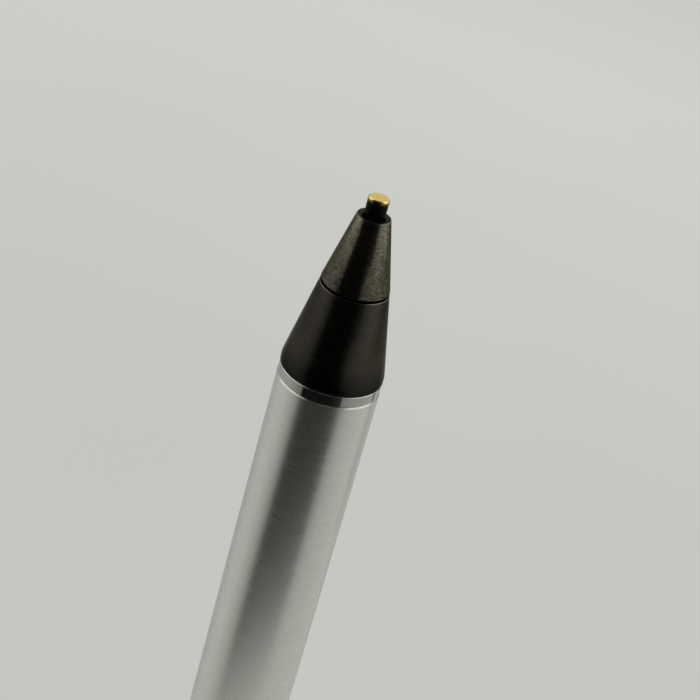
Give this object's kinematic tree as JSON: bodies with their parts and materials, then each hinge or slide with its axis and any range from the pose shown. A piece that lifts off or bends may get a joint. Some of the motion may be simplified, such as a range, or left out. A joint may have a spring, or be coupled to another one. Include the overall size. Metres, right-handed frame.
{
  "type": "stylus pen",
  "caption": "Slim active stylus pen: silver tube, polished trim ring, black conical nose that unscrews with its electronics, sprung gold-tipped nib and a tail push button.",
  "frame": {"origin": "centre of the tail's flat rim", "axes": "+Z along the pen's axis towards the nib; +Y is the side that the circuit board's parts face"},
  "size_m": [0.0094, 0.0094, 0.14],
  "materials": {
    "satin_aluminium": "drawn aluminium tube, satin silver anodised",
    "polished_metal": "turned and polished bright metal",
    "black_aluminium": "turned aluminium, satin black anodised",
    "black_aluminium_rough": "turned aluminium, black anodised over fine turning marks",
    "gold_plate": "turned brass, gold plated",
    "black_insulator": "black engineering plastic",
    "spring_wire": "bright spring steel wire",
    "black_moulding": "moulded black plastic",
    "button_aluminium": "turned aluminium, satin",
    "switch_housing": "moulded switch housing",
    "plated_contact": "stamped copper alloy, plated",
    "cell_case": "plain wrapped cell, weighted like a dry cell",
    "nickel_plate": "nickel-plated steel",
    "insulating_paper": "pressed insulating paper",
    "chassis_moulding": "moulded pale plastic",
    "board_laminate": "glass-epoxy laminate with solder mask",
    "chip_moulding": "moulded epoxy",
    "ferrite": "pressed ferrite",
    "chip_ceramic": "fired ceramic with tinned ends",
    "oscillator_can": "drawn metal can",
    "seal_rubber": "moulded rubber ring",
    "dowel_steel": "ground steel"
  },
  "bodies": {
    "barrel": {"barrel": "satin_aluminium", "tail_plug": "black_moulding", "button_spring": "spring_wire", "switch_body": "switch_housing", "switch_terminal": "plated_contact", "switch_retainer": "plated_contact", "cell_spring": "spring_wire", "cell_can": "cell_case", "cell_terminal": "nickel_plate", "cell_washer": "insulating_paper"},
    "power_button": {"power_button": "button_aluminium", "switch_plunger": "black_moulding"},
    "front_module": {"nose_cone": "black_aluminium", "trim_ring": "polished_metal", "nose_seal": "seal_rubber", "cross_pin": "dowel_steel", "chassis": "chassis_moulding", "circuit_board": "board_laminate", "boost_inductor": "ferrite", "board_capacitors": "chip_ceramic", "controller_chip": "chip_moulding", "board_resistors": "chip_moulding", "oscillator": "oscillator_can", "cell_contact": "plated_contact", "tip_contact": "plated_contact", "ground_clip": "plated_contact", "spring_seat": "plated_contact", "nib_spring": "spring_wire"},
    "nib": {"nib_stem": "black_insulator", "nib_contact": "gold_plate"},
    "tip_sleeve": {"tip_sleeve": "black_aluminium_rough"}
  },
  "joints": [
    {"name": "nib_press", "type": "slide", "parent": "front_module", "child": "nib", "axis": [0, 0, -1], "range_m": [0, 0.0004], "stiffness_N_per_m": 250, "springref_m": -0.001, "deforming": ["nib_spring"]},
    {"name": "button_press", "type": "slide", "parent": "barrel", "child": "power_button", "axis": [0, 0, 1], "range_m": [0, 0.0007], "stiffness_N_per_m": 1200, "springref_m": -0.001, "deforming": ["button_spring"]},
    {"name": "front_module_out", "type": "slide", "parent": "barrel", "child": "front_module", "axis": [0, 0, 1], "range_m": [0, 0.068]},
    {"name": "tip_sleeve_off", "type": "slide", "parent": "front_module", "child": "tip_sleeve", "axis": [0, 0, 1], "range_m": [0, 0.013]}
  ]
}
